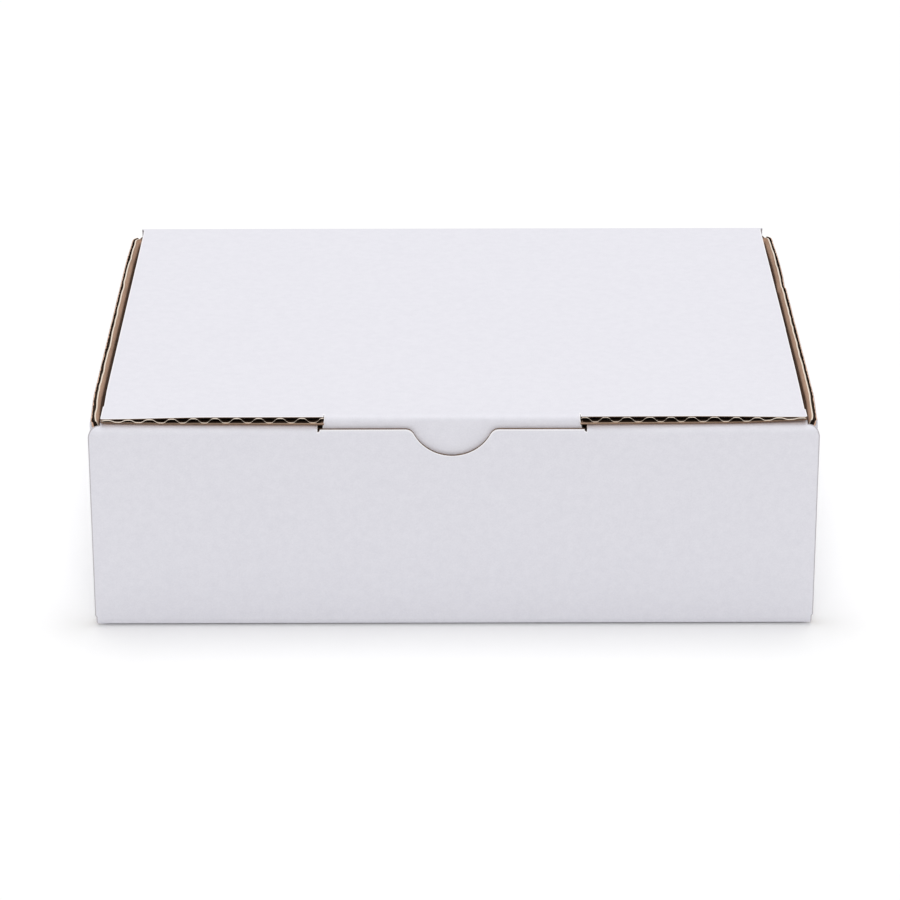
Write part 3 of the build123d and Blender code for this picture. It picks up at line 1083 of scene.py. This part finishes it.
@dataclass
class SideWall:
    """One side wall with its corner flaps: two skins and the fluted medium between them.

    Attributes:
        tray: the tray it belongs to.
        side: -1 for the left wall, 1 for the right one.
        skin: thickness of the outer liner with the medium stuck to it.
        bevel: how far the die presses the white liner in at the top edge.
        lean_width: how far the inner liner leans out at the top edge.
        lean_height: over what height it leans.
        flap_drop: the rear flap's top edge below the wall's.
        front_bow: how far the wall curves in at its front end.
        rear_bow: how far it curves in at its rear end, at the top.
        break_depth: depth of the break in the right wall's top edge.
        wander: size of the wall's slight unevenness.
    """

    tray: Tray
    side: int
    skin: float = 0.52
    bevel: float = 0.34
    lean_width: float = 0.95
    lean_height: float = 1.6
    flap_drop: float = 3.0
    front_bow: float = 0.85
    rear_bow: float = 0.45
    break_depth: float = 0.3
    wander: float = 0.07

    def __post_init__(self) -> None:
        """Lay out the wall's fold path in plan."""
        z, play = self.tray.blank.sizes, 0.15
        mid = z.board.mid
        front = -z.half_depth + z.board.caliper + play + mid
        back = z.half_depth - z.board.caliper - play - mid
        x = z.half_width - mid
        self.path = FoldPath(
            corners=[
                (z.slot_half + self.tray.flap_gap, front),
                (x, front),
                (x, back),
                (self.tray.rear_flap_half_gap, back),
            ],
            radii=[2.0, 2.6],
            outer_side=-1.0,
        )
        self.front, self.rear = self.path.creases
        self.foot = z.board.caliper + 0.3
        self.base = z.board.crease_radius + mid

    @property
    def label(self) -> str:
        """Which wall this is."""
        return "left" if self.side < 0 else "right"

    def place(self, u: float, height: float, depth: float) -> Point3:
        """Fold a flat point of the wall into place and give it the wall's bow.

        Args:
            u: along the wall in plan, from the front flap's end.
            height: above the floor.
            depth: below the outer face.

        Returns:
            The point in mm.
        """
        z = self.tray.blank.sizes
        point, out = self.path.at(u)
        reach = z.board.mid - depth
        x, y = point.x + out.x * reach, point.y + out.y * reach
        return (self.side * (x - self.bow(y, height)), y, height)

    def bow(self, y: float, height: float) -> float:
        """How far the wall curves in from its widest line.

        Args:
            y: along the wall.
            height: above the floor.

        Returns:
            The distance in mm.
        """
        z = self.tray.blank.sizes
        share = smooth(0.0, z.wall_height, height)
        front_end = self.front_bow * smooth(-60.0, -86.0, y)
        rear_end = self.rear_bow * smooth(60.0, 84.0, y)
        step = 0.0
        if self.side > 0:
            step = self.break_depth * (smooth(33.4, 34.4, y) - smooth(34.4, 48.0, y))
        uneven = self.wander * ripple(y, self.side * 9.0, 17.0, 3.1)
        return front_end + share * (rear_end + step + uneven + self.wander)

    def top(self, u: float) -> float:
        """Height of the wall's cut top edge, a little uneven and higher at the rear.

        Args:
            u: along the wall in plan, from the front flap's end.

        Returns:
            The height in mm.
        """
        z = self.tray.blank.sizes
        rise = 0.3 * smooth(self.front[1], self.rear[0], u)
        return z.wall_height + rise + 0.08 * ripple(u, 0.0, 3.2, 5.0 + self.side)

    def outline(self) -> Loop:
        """The wall and its flaps, flat.

        Returns:
            The closed outline.
        """
        z = self.tray.blank.sizes
        under_roll = z.wall_height - z.board.caliper - 0.3
        rear_end = sum(self.rear) / 2 + 0.4
        tops = [(u, self.top(u)) for u in spaced(self.front[1] - 1.2, rear_end, 0.8)]
        return [
            (0.0, self.foot + 8.0),
            (6.0, self.foot),
            (self.front[0], self.foot),
            (self.front[1], self.base),
            (self.rear[0], self.base),
            (self.rear[1], self.foot),
            (self.path.length - 6.0, self.foot),
            (self.path.length, self.foot + 8.0),
            (self.path.length, z.wall_height - self.flap_drop - 6.0),
            (self.path.length - 6.0, z.wall_height - self.flap_drop),
            (self.rear[1] + 1.0, z.wall_height - self.flap_drop),
            (rear_end + 0.5, z.wall_height - 0.5),
            *reversed(tops),
            (self.front[1] - 2.4, under_roll),
            (6.0, under_roll),
            (0.0, under_roll - 6.0),
        ]

    def inner_lean(self, u: float, height: float) -> float:
        """How far the inner liner leans out over the pressed top edge.

        Args:
            u: along the wall in plan, from the front flap's end.
            height: above the floor.

        Returns:
            The distance in mm.
        """
        z = self.tray.blank.sizes
        along = smooth(self.front[0], self.front[1] + 3, u)
        along *= 1 - smooth(self.rear[0] - 1, self.rear[1], u)
        rise = smooth(z.wall_height - self.lean_height, z.wall_height + 0.4, height)
        uneven = 1 + 0.25 * ripple(u, 2.0, 6.0, 8.0 + self.side)
        return self.lean_width * rise * uneven * (0.35 + 0.65 * along)

    def outer_face(self, u: float, height: float) -> float:
        """Outer face, rounded in where the die presses the white liner over the top edge."""
        return self.bevel * smooth(0.5, 0.05, self.top(u) - height)

    def outer_skin(self, u: float, height: float) -> float:
        """Inner side of the outer liner, with the medium glued to it."""
        return self.skin + 0.2 * ripple(u, height, 1.5, 2.0 + self.side)

    def skins(self) -> list[bpy.types.Object]:
        """The outer liner with the medium stuck to it, and the leaning inner liner.

        Returns:
            The two objects.
        """
        z, tray = self.tray.blank.sizes, self.tray
        full, liner = z.board.caliper, z.board.liner
        heights = [
            *spaced(self.foot, z.wall_height - 4, 6.0),
            *spaced(z.wall_height - 3.2, z.wall_height, 0.55),
        ]
        along = self.path.stations(4.0, 0.5)
        near_top = spaced(self.front[1], self.rear[0], 1.1)
        across = sorted({round(u, 3) for u in [*along, *near_top]})
        outer = CutPiece(
            name=f"{self.label}_wall_outer_liner", loops=[self.outline()],
            across=across, along=heights, place=self.place,
            outer=self.outer_face, inner=self.outer_skin, outline_step=0.6, rows=1,
            # the outer liner's rim along the top edge takes the painted shade
            rim=0.3, rim_kind=lambda u, v: Face.WORN if v > z.wall_height - 1 else None,
        )
        inner = CutPiece(
            name=f"{self.label}_wall_inner_liner", loops=[self.outline()],
            across=across, along=heights, place=self.place,
            outer=lambda u, v: full - liner - 0.12 - self.inner_lean(u, v),
            inner=lambda u, v: full - self.inner_lean(u, v),
            outline_step=1.1, rows=2,
        )
        finish = tray.finishes
        # painted shade on the inner liner's face towards the flutes, and a kraft brightened to stand in
        # for light on its face inside the box
        brown = {Face.OUTER: finish.flute_shade, Face.INNER: finish.kraft_side_painted_light, Face.CUT: finish.medium}
        skin = finish.side_board()
        return [outer.build(skin), inner.build(brown)]

    def medium(self) -> bpy.types.Object:
        """The fluted medium, whose waves follow one another up the wall.

        Returns:
            The object.
        """
        z = self.tray.blank.sizes
        board = z.board
        half = (board.caliper - board.liner - self.skin - board.medium) / 2 - 0.05
        middle = self.skin + half + board.medium / 2 + 0.02
        crest = z.wall_height - 1.5

        def depth(height: float) -> float:
            """Depth of the medium's middle at a height."""
            return middle - half * math.cos(math.tau * (crest - height) / board.flute_pitch)

        heights = spaced(self.base + 1.0, z.wall_height - 1.1, board.flute_pitch / 10)
        stations = spaced(self.front[1] + 0.8, self.rear[0] - 0.8, 3.0)
        verts: list[Point3] = []
        for u in stations:
            for h in heights:
                lean = self.inner_lean(u, h) * 0.8 * smooth(middle - half, middle + half, depth(h))
                torn = h - 0.25 * (1 + ripple(u, h, 1.6, 4.0)) * smooth(crest - 1.5, crest, h)
                for side in (-0.5, 0.5):
                    verts.append(self.place(u, torn, depth(h) - lean + side * board.medium))
        return sheet_of(f"{self.label}_wall_medium", verts, len(stations), len(heights),
                        self.tray.finishes.wave())

    def crease(self) -> bpy.types.Object:
        """The bend between the bottom and the wall.

        Returns:
            The object.
        """
        z, tray = self.tray.blank.sizes, self.tray
        mid, bend = z.board.mid, z.board.crease_radius
        path = FoldPath(
            corners=[(z.half_width - mid, self.base + 0.6), (z.half_width - mid, mid),
                     (z.half_width - z.board.caliper - 0.35, mid)],
            radii=[bend],
            outer_side=1.0,
        )
        ends = z.half_depth - z.board.caliper - 2.0

        def place(y: float, s: float, depth: float) -> Point3:
            """Fold a flat point of the bend into place."""
            point, out = path.at(s)
            reach = mid - depth
            x, h = point.x + out.x * reach, point.y + out.y * reach
            return (self.side * (x - self.bow(y, h)), y, h)

        piece = CutPiece(
            name=f"{self.label}_bottom_crease",
            loops=[[(-ends, 0.0), (ends, 0.0), (ends, path.length), (-ends, path.length)]],
            across=spaced(-ends, ends, 5.0), along=path.stations(1.0, 0.4), place=place,
            outer=lambda u, v: 0.0, inner=lambda u, v: z.board.caliper,
            outline_step=5.0,
        )
        return piece.build(tray.finishes.side_board())

    def build(self) -> list[bpy.types.Object]:
        """Build the wall.

        Returns:
            The objects.
        """
        return [*self.skins(), self.medium(), self.crease()]


def sheet_of(name: str, verts: Sequence[Point3], rows: int, columns: int,
             finishes: dict[Face, bpy.types.Material]) -> bpy.types.Object:
    """A closed thin sheet from a grid of paired points.

    Args:
        name: the object's name.
        verts: for each row and column, the point on one face and the point on the other.
        rows: how many rows.
        columns: how many columns.
        finishes: the sheet's materials.

    Returns:
        The new object.
    """
    def at(r: int, c: int, face: int) -> int:
        """Index of one of a grid point's pair."""
        return (r * columns + c) * 2 + face

    faces: list[tuple[int, ...]] = []
    kinds: dict[int, int] = {}
    for r in range(rows - 1):
        for c in range(columns - 1):
            faces.append((at(r, c, 0), at(r + 1, c, 0), at(r + 1, c + 1, 0), at(r, c + 1, 0)))
            faces.append((at(r, c, 1), at(r, c + 1, 1), at(r + 1, c + 1, 1), at(r + 1, c, 1)))
    for r in range(rows - 1):
        for c, k in ((0, 0), (columns - 1, 1)):
            quad = (at(r, c, 0), at(r, c, 1), at(r + 1, c, 1), at(r + 1, c, 0))
            faces.append(quad if k == 0 else quad[::-1])
    for c in range(columns - 1):
        for r, k in ((0, 0), (rows - 1, 1)):
            quad = (at(r, c, 0), at(r, c + 1, 0), at(r, c + 1, 1), at(r, c, 1))
            faces.append(quad if k == 0 else quad[::-1])
            kinds[len(faces) - 1] = Face.CUT.value
    return make_object(name, verts, faces, [kinds.get(i, 0) for i in range(len(faces))], finishes)


@dataclass
class Lid:
    """The lid's panel: two liners with the fluted medium between them, and the tuck tab."""

    blank: Blank
    finishes: Finishes
    opening: SlotAndNotch
    neck_back: float = 9.0
    set_in: float = 0.85
    set_in_right: float = 0.3
    medium_recess: float = -0.04
    lit_edge: float = 0.9
    tab_bend: float = 1.7
    cut_set_in: float = 0.18
    slit: float = 2.6

    def __post_init__(self) -> None:
        """Lay out the tab's path, along its outer face, from the lid's panel down."""
        z = self.blank.sizes
        self.face = -z.half_depth + self.cut_set_in + z.slot_edge + 0.12
        self.root = -z.half_depth + z.lid_setback + self.neck_back
        self.tab_path = FoldPath(
            corners=[(self.root, z.lid_top), (self.face, z.lid_top), (self.face, z.tab_tip)],
            radii=[self.tab_bend],
            outer_side=-1.0,
        )

    def place(self, x: float, s: float, depth: float) -> Point3:
        """Fold a flat point of the lid or its tab into place.

        Args:
            x: across the box.
            s: behind the lid's front edge, below 0 on the tab.
            depth: below the outer face.

        Returns:
            The point in mm.
        """
        z = self.blank.sizes
        along = self.neck_back - s
        in_neck = abs(x - z.opening_offset) <= z.neck_half + 0.01 or s < -0.01
        if not in_neck or along <= self.tab_path.creases[0][0] or s > self.slit:
            return self.blank.place(x, s, depth)
        point, out = self.tab_path.at(along)
        y, h = point.x - out.x * depth, point.y - out.y * depth
        # below the slot the tab lies against the pressed back of the front panel
        rest = -z.half_depth + self.opening.crush(x, h) + 0.12
        share = smooth(z.slot_line - 0.2, z.slot_line - 3.2, h)
        return (x, y + (rest - self.face) * share, h)

    def outline(self, rear: float, tab: bool) -> Loop:
        """The lid's panel, flat, with its tab or with the recess that the tab's neck fills.

        Args:
            rear: the station where the outline ends at the back.
            tab: whether the tab is part of the piece.

        Returns:
            The closed outline.
        """
        z = self.blank.sizes
        half, middle, neck = z.lid_half, z.opening_offset, z.neck_half
        corner, nick = 0.5, 0.3
        left_nick, right_nick = 11.0, 7.2
        if tab:
            right = self.tab_side()
            front = [(middle - x, s) for x, s in right] + [(middle + x, s) for x, s in reversed(right)]
        else:
            front = [(middle - neck, 0.0), (middle - neck, self.neck_back),
                     (middle + neck, self.neck_back), (middle + neck, 0.0)]
        return [
            (-half + corner, self.set_back(-half)),
            *front,
            (half - corner, self.set_back(half)),
            (half, corner + self.set_back(half)),
            (half, right_nick),
            (half - nick, right_nick + 0.2),
            (half - nick * 0.4, 40.0),
            (half - nick * 0.2, 76.0),
            (half, 76.3),
            (half - 0.1, rear - 4.0),
            (half, rear),
            (-half, rear),
            (-half + 0.1, rear - 4.0),
            (-half + 0.1, left_nick + 12),
            (-half + nick, left_nick + 0.2),
            (-half, left_nick),
            (-half, corner + self.set_back(-half)),
        ]

    def set_back(self, x: float) -> float:
        """How far the lid's cut front edge lies behind the nominal line, more at the right."""
        return self.set_in + self.set_in_right * smooth(0.0, 60.0, x)

    def tab_side(self) -> Loop:
        """The tab's right side, as (distance from its middle, station), from lid edge to tip.

        Returns:
            The points.
        """
        z = self.blank.sizes
        length = self.neck_back - self.tab_path.length
        bend = self.neck_back - self.tab_path.creases[0][1]
        neck, wide, corner = z.neck_half, z.tab_half, 6.0
        return [
            (neck + 0.12, self.set_back(0.0)),
            (neck + 0.12, self.slit),
            (neck, self.slit),
            (neck, bend + 0.6),
            (wide - 0.3, bend - 2.6),
            (wide, bend - 6.0),
            *[(wide - corner + corner * math.cos(t), length + corner - corner * math.sin(t))
              for t in np.linspace(0, math.pi / 2, 7)],
        ]

    def droop(self, x: float, s: float) -> float:
        """How far the lid's top sinks towards its front corners.

        Args:
            x: across the box.
            s: behind the front edge.

        Returns:
            The distance in mm.
        """
        z = self.blank.sizes
        depth = 0.55 if x < 0 else 0.35
        side = smooth(z.lid_half - 34.0, z.lid_half, abs(x))
        return depth * side * (1 - smooth(2.0, 34.0, s))

    def rise(self, x: float, s: float) -> float:
        """How far the lid's underside is pressed up at its front corners.

        Args:
            x: across the box.
            s: behind the front edge.

        Returns:
            The distance in mm.
        """
        z = self.blank.sizes
        depth = 0.35 if x < 0 else 0.75
        side = smooth(z.lid_half - 22.0, z.lid_half, abs(x))
        pressed = 0.28 * (1 - smooth(0.5, 4.0, s))
        return depth * side * (1 - smooth(1.0, 22.0, s)) + pressed

    def liners(self) -> list[bpy.types.Object]:
        """The white top liner and the kraft liner under it.

        Returns:
            The two objects.
        """
        blank, z = self.blank, self.blank.sizes
        board = z.board
        seam = blank.rear[0] - 0.8
        across = spaced(-z.lid_half, z.lid_half, 4.0)
        near = spaced(0.8, 8.0, 1.6)
        along = [*near, *spaced(12.0, seam - 4.0, 6.0), seam - 1.5]
        tab_tip = self.neck_back - self.tab_path.length
        bend = [self.neck_back - s for s in self.tab_path.creases[0]]
        tab_across = spaced(z.opening_offset - z.tab_half, z.opening_offset + z.tab_half, 1.0)
        tab_rows = [*spaced(tab_tip, bend[1], 1.2), *spaced(bend[1], bend[0] + 0.6, 0.3), bend[0] + 1.4]
        top = CutPiece(
            name="lid_top_liner", loops=[self.outline(seam, True)], across=across, along=along,
            place=self.place, dense=[(tab_across, tab_rows)],
            outer=self.droop,
            inner=lambda x, s: self.droop(x, s) + board.liner,
            rim=0.34, rim_drop=0.07, outline_step=0.7, rows=1,
            # the rim along the lid's cut edges takes the painted highlight
            rim_kind=lambda x, s: Face.RIM if s < seam - 0.1 else None,
        )
        under = CutPiece(
            name="lid_under_liner", loops=[self.outline(blank.rear[0] - 0.3, False)], across=across,
            along=along, place=blank.place,
            outer=lambda x, s: board.caliper - board.liner - self.rise(x, s),
            inner=lambda x, s: board.caliper - self.rise(x, s),
            rim=self.lit_edge, outline_step=1.6, rows=1,
        )
        finish = self.finishes
        # both liners' faces towards the flutes carry painted shade, and the white liner's rim a painted
        # highlight
        white = {Face.OUTER: finish.white, Face.INNER: finish.flute_shade, Face.CUT: finish.cut,
                 Face.RIM: finish.rim}
        kraft = {Face.OUTER: finish.flute_shade, Face.INNER: finish.kraft, Face.CUT: finish.cut,
                 Face.RIM: finish.kraft}
        return [top.build(white), under.build(kraft)]

    def rear_core(self) -> bpy.types.Object:
        """The pressed board under the bridging liner, on the lid's side of the rear fold.

        Returns:
            The object.
        """
        blank, z = self.blank, self.blank.sizes
        board = z.board
        start, end = blank.rear[0] - 4.0, blank.mitre - 0.08
        half = z.lid_half - 0.9
        piece = CutPiece(
            name="lid_rear_fold_core",
            loops=[[(-half, start), (half, start), (half, end), (-half, end)]],
            across=spaced(-half, half, 2.0),
            along=[start + 1, blank.rear[0] - 0.3, *spaced(blank.rear[0] - 0.2, end - 0.3, 0.3)],
            place=blank.place,
            outer=lambda x, s: board.liner + 0.03,
            inner=lambda x, s: board.caliper - (board.liner + 0.03) * (s < blank.rear[0] - 0.25),
            outline_step=4.0,
        )
        return piece.build(self.finishes.brown())

    def medium(self) -> list[bpy.types.Object]:
        """The fluted medium, seen end on along the lid's front edge.

        Returns:
            The two objects.
        """
        blank, z = self.blank, self.blank.sizes
        board = z.board
        pieces = []
        stations = [0.0, 1.6, 3.0, 8.0, 20.0, 34.0, 60.0, 120.0, blank.rear[0] - 4.2]
        spans = [
            (-z.lid_half + 0.5, z.opening_offset - z.neck_half - 0.1, "left"),
            (z.opening_offset + z.neck_half + 0.1, z.lid_half - 0.5, "right"),
        ]
        for low, high, label in spans:
            columns = spaced(low, high, board.flute_pitch / 14)
            verts: list[Point3] = []
            for s in stations:
                for x in columns:
                    verts += self.wave_points(x, s)
            pieces.append(sheet_of(f"lid_medium_{label}", verts, len(stations), len(columns),
                                   self.finishes.wave()))
        return pieces

    def wave_points(self, x: float, s: float) -> list[Point3]:
        """The medium's two faces at one place.

        Args:
            x: across the box.
            s: behind the front edge.

        Returns:
            The upper and the lower point.
        """
        blank, board = self.blank, self.blank.sizes.board
        high = self.droop(x, s) + board.liner + board.medium / 2
        low = board.caliper - board.liner - self.rise(x, s) - board.medium / 2
        drift = 0.45 * ripple(x, 0.0, 11.0, 6.0)
        turn = math.tau * (x + drift) / board.flute_pitch
        # the flank is straighter, and the tips rounder, than a plain sine
        level = 0.5 - 0.5 * (math.cos(turn) - 0.12 * math.cos(3 * turn)) / 0.88
        depth = high + (low - high) * min(max(level, 0.0), 1.0)
        slope = math.pi * (low - high) / board.flute_pitch * math.sin(turn)
        half = board.medium * 0.62
        lean = math.atan(slope)
        return [
            self.blank.place(
                x + side * half * math.sin(lean),
                max(s, self.set_back(x) + self.medium_recess),
                depth + side * half * math.cos(lean),
            )
            for side in (-1, 1)
        ]

    def tab(self) -> bpy.types.Object:
        """The medium and kraft liner behind the tab's white liner, pressed thin at the fold.

        Returns:
            The object.
        """
        z = self.blank.sizes
        board = z.board
        low, high = (self.neck_back - s for s in reversed(self.tab_path.creases[0]))
        side = self.tab_side()[2:]
        back = [(z.neck_half, self.neck_back - 0.1), (z.neck_half, self.slit), *side[1:]]
        outline = [(z.opening_offset - x, s) for x, s in back]
        outline += [(z.opening_offset + x, s) for x, s in reversed(back)]
        full, pressed = board.caliper - 0.3, self.tab_bend - 0.15

        def inner(x: float, s: float) -> float:
            """Depth of the tab's inner face."""
            off = max(low - s, s - high, 0.0)
            return pressed + (full - pressed) * smooth(0.0, 2.0, off)

        tip = self.neck_back - self.tab_path.length
        wide = z.tab_half
        piece = CutPiece(
            name="tuck_tab_core", loops=[outline],
            across=spaced(z.opening_offset - wide, z.opening_offset + wide, 1.6),
            along=[*spaced(tip, low, 1.2), *spaced(low, high, 0.3), *spaced(high, self.neck_back, 1.2)],
            place=self.place,
            outer=lambda x, s: board.liner + 0.02, inner=inner,
            outline_step=0.9, rows=2,
        )
        finish = self.finishes
        # the core's face under the white liner carries painted shade
        return piece.build({Face.OUTER: finish.flute_shade, Face.INNER: finish.kraft, Face.CUT: finish.cut})

    def build(self) -> list[bpy.types.Object]:
        """Build every piece that swings with the lid.

        Returns:
            The objects.
        """
        return [*self.liners(), self.rear_core(), *self.medium(), self.tab()]


@dataclass
class RearFold:
    """The two liners that bend between the back wall and the lid."""

    blank: Blank
    finishes: Finishes
    flare: float = 0.9

    def bridge(self) -> bpy.types.Object:
        """The white liner round the outside of the fold.

        Returns:
            The object.
        """
        blank, z = self.blank, self.blank.sizes
        start, end = blank.rear[0] - 0.8, blank.rear[1] + 0.8
        half = z.lid_half
        # the liner widens as it turns over the rear edge, towards the back wall's width
        widest = blank.rear[0] + 1.0
        side = [(half + self.flare * smooth(start, widest, s), s) for s in spaced(start, end, 0.3)]
        outline = side + [(-x, s) for x, s in reversed(side)]
        piece = CutPiece(
            name="rear_fold_liner", loops=[outline], across=spaced(-half, half, 0.9),
            along=spaced(start + 0.2, end - 0.2, 0.22), place=blank.place,
            outer=lambda x, s: 0.0, inner=lambda x, s: z.board.liner,
            outline_step=0.5, rows=1,
        )
        obj = piece.build({Face.OUTER: self.finishes.white})
        return self.bend(obj, end, start, 0.0)

    def web(self) -> bpy.types.Object:
        """The kraft liner inside the fold.

        Returns:
            The object.
        """
        blank, z = self.blank, self.blank.sizes
        start, end = blank.rear[0] - 0.6, blank.rear[1] + 0.6
        half = z.lid_half - 0.3
        depth = z.board.caliper
        piece = CutPiece(
            name="rear_fold_inner_liner",
            loops=[[(-half, start), (half, start), (half, end), (-half, end)]],
            across=spaced(-half, half, 8.0), along=spaced(start, end, 0.14)[1:-1], place=blank.place,
            outer=lambda x, s: depth + 0.02, inner=lambda x, s: depth + 0.16,
            outline_step=0.2, rows=1,
        )
        return self.bend(piece.build(self.finishes.brown()), end, start, depth)

    def bend(self, obj: bpy.types.Object, tray_end: float, lid_end: float,
             depth: float) -> bpy.types.Object:
        """Bake a liner's placement into its mesh; the hinge's two end points are worked out but not used.

        Args:
            obj: the liner.
            tray_end: the station where it follows the tray.
            lid_end: the station where it follows the lid.
            depth: how far below the outer face it lies.

        Returns:
            The same object.
        """
        first = [c * MM for c in self.blank.place(0.0, tray_end, depth)]
        last = [c * MM for c in self.blank.place(0.0, lid_end, depth)]
        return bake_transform(obj)

    def build(self) -> list[bpy.types.Object]:
        """Build both liners.

        Returns:
            The objects.
        """
        return [self.bridge(), self.web()]


# ---- studio ----------------------------------------------------------------------------------
@dataclass(frozen=True)
class Studio:
    """A white sweep, a soft key light above the front, and a long lens."""

    elevation: float = 21.977
    turn: float = -0.077
    roll: float = -0.097
    distance: float = 1203.8
    target: Point3 = (-1.05, 0.0, 21.706)
    focal_px: float = 3676.3
    frame_px: float = 900.0
    sensor: float = 36.0
    floor_half: float = 9000.0
    dome: float = 0.45
    key_share: float = 0.44
    key_elevation: float = 102.0
    key_angle: float = 42.0
    fill_share: float = 0.225
    fill_elevation: float = 41.0
    fill_angle: float = 30.0
    paper: float = 0.93
    glow: float = 0.07

    def camera(self) -> None:
        """Create the camera and make it the scene's own."""
        el, yaw = math.radians(self.elevation), math.radians(self.turn)
        back = Vector((math.sin(yaw) * math.cos(el), -math.cos(yaw) * math.cos(el), math.sin(el)))
        data = bpy.data.cameras.new("camera")
        data.sensor_width = self.sensor
        data.lens = self.focal_px / self.frame_px * self.sensor
        data.clip_end = 50.0
        camera = bpy.data.objects.new("camera", data)
        camera.location = (Vector(self.target) + back * self.distance) * MM
        facing = (-back).to_track_quat("-Z", "Y").to_matrix()
        turned = facing @ Matrix.Rotation(math.radians(self.roll), 3, "Z")
        camera.rotation_euler = turned.to_euler()
        bpy.context.scene.collection.objects.link(camera)
        bpy.context.scene.camera = camera

    def lights(self) -> None:
        """Create the sky dome and the key light."""
        world = bpy.data.worlds.new("studio")
        world.use_nodes = True
        tree = world.node_tree
        tree.nodes.clear()
        seen = add(tree, "ShaderNodeLightPath")
        # the dome lights the box evenly, and looks plain white to the camera
        dome = add(tree, "ShaderNodeBackground", {"Color": (1, 1, 1, 1), "Strength": self.dome})
        white = add(tree, "ShaderNodeBackground", {"Color": (1, 1, 1, 1), "Strength": 1.0})
        mix = add(tree, "ShaderNodeMixShader", {},
                  {0: seen.outputs["Is Camera Ray"], 1: dome.outputs[0], 2: white.outputs[0]})
        add(tree, "ShaderNodeOutputWorld", {}, {"Surface": mix.outputs[0]})
        bpy.context.scene.world = world
        self.sun("key", self.key_share, self.key_elevation, self.key_angle)
        self.sun("fill", self.fill_share, self.fill_elevation, self.fill_angle)

    def sun(self, name: str, share: float, elevation: float, angle: float) -> None:
        """Create a soft distant lamp.

        Args:
            name: the lamp's name.
            share: brightness it gives to a white face square to it, of plain white.
            elevation: degrees above the front horizon, over 90 for a lamp from behind.
            angle: its apparent width in degrees, which softens its shadows.
        """
        data = bpy.data.lights.new(name, "SUN")
        data.energy = share * math.pi
        data.angle = math.radians(angle)
        lamp = bpy.data.objects.new(name, data)
        lamp.rotation_euler = (math.radians(90 - elevation), 0, 0)
        bpy.context.scene.collection.objects.link(lamp)

    def floor(self) -> None:
        """Create the white floor, lifted to plain white where the camera sees it unshaded."""
        reach = self.floor_half * MM
        mesh = bpy.data.meshes.new("floor")
        mesh.from_pydata([(-reach, -reach, 0), (reach, -reach, 0), (reach, reach, 0), (-reach, reach, 0)],
                         [], [(0, 1, 2, 3)])
        material = bpy.data.materials.new("white_paper_sweep")
        material.use_nodes = True
        tree = material.node_tree
        tree.nodes.clear()
        seen = add(tree, "ShaderNodeLightPath")
        paper = add(tree, "ShaderNodeBsdfDiffuse", {"Color": (self.paper,) * 3 + (1,)})
        glow = add(tree, "ShaderNodeEmission", {"Color": (1, 1, 1, 1), "Strength": self.glow})
        lifted = add(tree, "ShaderNodeAddShader", {}, {0: paper.outputs[0], 1: glow.outputs[0]})
        mix = add(tree, "ShaderNodeMixShader", {},
                  {0: seen.outputs["Is Camera Ray"], 1: paper.outputs[0], 2: lifted.outputs[0]})
        add(tree, "ShaderNodeOutputMaterial", {}, {"Surface": mix.outputs[0]})
        mesh.materials.append(material)
        obj = bpy.data.objects.new("floor", mesh)
        bpy.context.scene.collection.objects.link(obj)

    def build(self) -> None:
        """Set up camera, lights and floor."""
        self.camera()
        self.lights()
        self.floor()
        bpy.context.scene.view_settings.view_transform = "Standard"


def main() -> None:
    """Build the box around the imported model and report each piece."""
    logging.basicConfig(level=logging.INFO, format="%(message)s")
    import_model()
    sizes = BoxSizes.from_frame()
    Studio().build()
    finishes = Finishes.make()
    blank = Blank(sizes)
    opening = SlotAndNotch(blank)
    tray = Tray(blank, finishes, opening).build()
    lid = Lid(blank, finishes, opening).build()
    fold = RearFold(blank, finishes).build()
    for body, pieces in (("tray", tray), ("lid", lid)):
        for piece in pieces:
            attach(piece, body)
    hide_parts("tray")
    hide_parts("lid")
    for piece in [*tray, *lid, *fold]:
        LOG.info("%s: %d faces", piece.name, len(piece.data.polygons))


if __name__ == "__main__":
    main()
